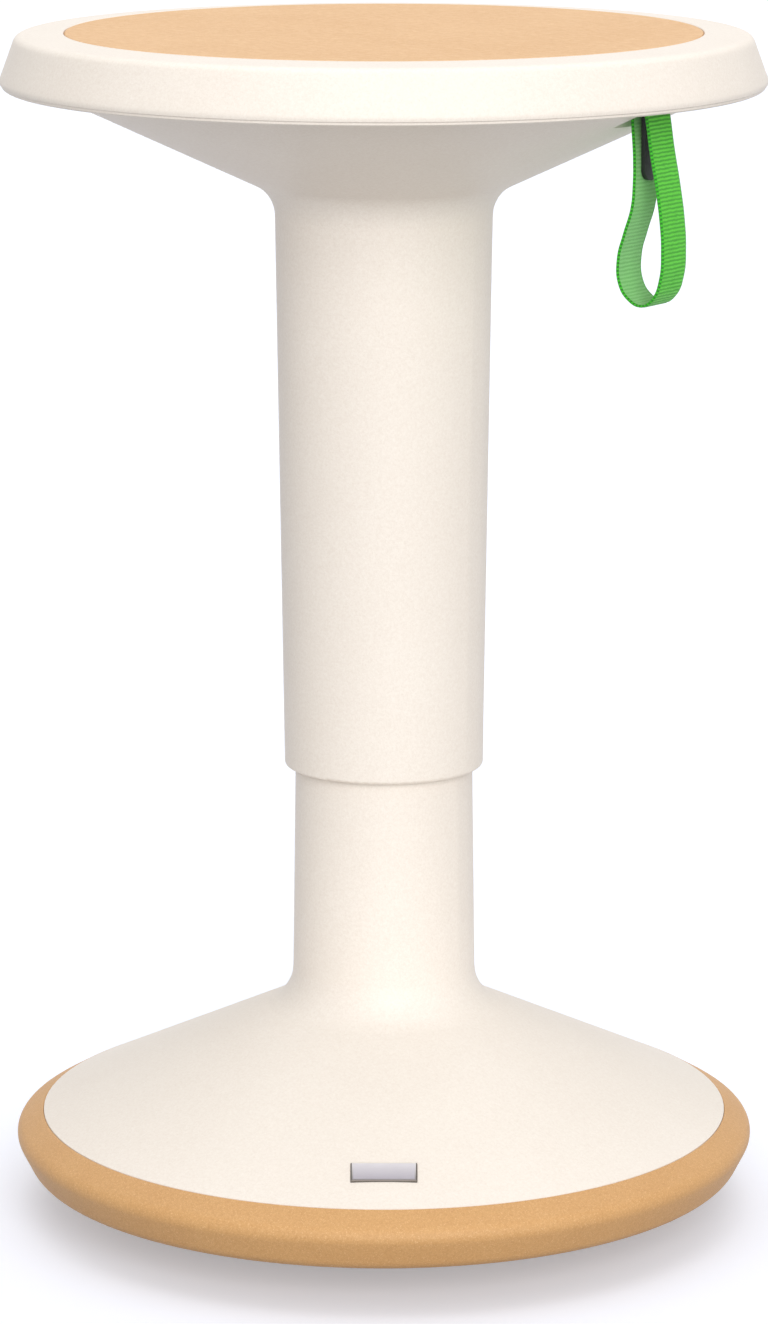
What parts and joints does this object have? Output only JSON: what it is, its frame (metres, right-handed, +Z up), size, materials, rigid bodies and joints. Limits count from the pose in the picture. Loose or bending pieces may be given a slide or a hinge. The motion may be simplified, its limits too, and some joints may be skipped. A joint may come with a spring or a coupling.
{
  "type": "wobble stool",
  "caption": "Height-adjustable wobble stool: round padded seat on a telescoping gas column, domed rocking foot with a ballast, and a webbing loop that releases the height.",
  "frame": {"origin": "on the floor, under the middle of the stool, at the lowest point of the domed foot", "axes": "+Z up along the column; +X from the column towards the pull strap; seat at half its travel"},
  "size_m": [0.34, 0.34, 0.54],
  "materials": {
    "pad": "fine matt grain, tan",
    "white_plastic": "satin moulded, white",
    "tan_plastic": "satin moulded, tan",
    "badge_metal": "satin, bare",
    "green_webbing": "woven ribs, green",
    "black_plastic": "moulded, black",
    "rubber": "moulded, black",
    "cast_iron": "as cast",
    "black_steel": "powder coated, black",
    "bright_steel": "ground and plated",
    "bare_aluminium": "turned",
    "zinc_steel": "zinc plated"
  },
  "bodies": {
    "base": {"foot_sole": "tan_plastic", "base_cover": "white_plastic", "badge": "badge_metal", "ballast": "cast_iron", "base_plate": "black_steel", "plate_bolts": "zinc_steel", "standpipe": "black_steel", "guide_bush": "black_plastic", "cover_spacer": "black_plastic", "lower_race": "zinc_steel", "base_screws": "zinc_steel"},
    "bearing_cage": {"ball_cage": "black_plastic", "bearing_balls": "zinc_steel"},
    "rod": {"piston_rod": "bright_steel", "piston": "bare_aluminium", "piston_nut": "zinc_steel", "rubber_bumper": "rubber", "upper_race": "zinc_steel", "rod_washer": "zinc_steel", "rod_clip": "zinc_steel"},
    "seat": {"seat_pad": "pad", "seat_shell": "white_plastic", "seat_column": "white_plastic", "seat_screws": "zinc_steel", "mount_plate": "black_steel", "plate_screws": "zinc_steel", "taper_socket": "black_steel", "lever_bracket": "black_steel", "lever_pin": "zinc_steel", "gas_cylinder": "black_steel", "rod_guide": "bare_aluminium", "rod_seal": "rubber", "valve_body": "bare_aluminium"},
    "lever": {"release_lever": "black_steel", "strap_pin": "zinc_steel"},
    "valve_pin": {"release_pin": "zinc_steel"},
    "strap": {"pull_strap": "green_webbing", "strap_hook": "black_plastic"}
  },
  "joints": [
    {"name": "seat_swivel", "type": "hinge", "parent": "base", "child": "rod", "pos_m": [0, 0, 0.03], "axis": [0, 0, 1], "continuous": true},
    {"name": "bearing_cage_turn", "type": "hinge", "parent": "base", "child": "bearing_cage", "pos_m": [0, 0, 0.03], "axis": [0, 0, 1], "continuous": true},
    {"name": "height_adjust", "type": "slide", "parent": "rod", "child": "seat", "axis": [0, 0, 1], "range_m": [-0.09, 0.09]},
    {"name": "release_lever", "type": "hinge", "parent": "seat", "child": "lever", "pos_m": [-0.05, 0, 0.497], "axis": [0, 1, 0], "range_deg": [0, 2.86], "stiffness_Nm_per_rad": 40, "springref_deg": -5.73},
    {"name": "valve_pin_slide", "type": "slide", "parent": "seat", "child": "valve_pin", "axis": [0, 0, -1], "range_m": [0, 0.0025]},
    {"name": "strap_swing", "type": "hinge", "parent": "lever", "child": "strap", "pos_m": [0.1385, 0, 0.5245], "axis": [0, 1, 0], "range_deg": [-12, 12]}
  ],
  "couplings": [
    {"joint": "bearing_cage_turn", "follows": "seat_swivel", "ratio": 0.5},
    {"joint": "valve_pin_slide", "follows": "release_lever", "m_per_rad": 0.05}
  ]
}
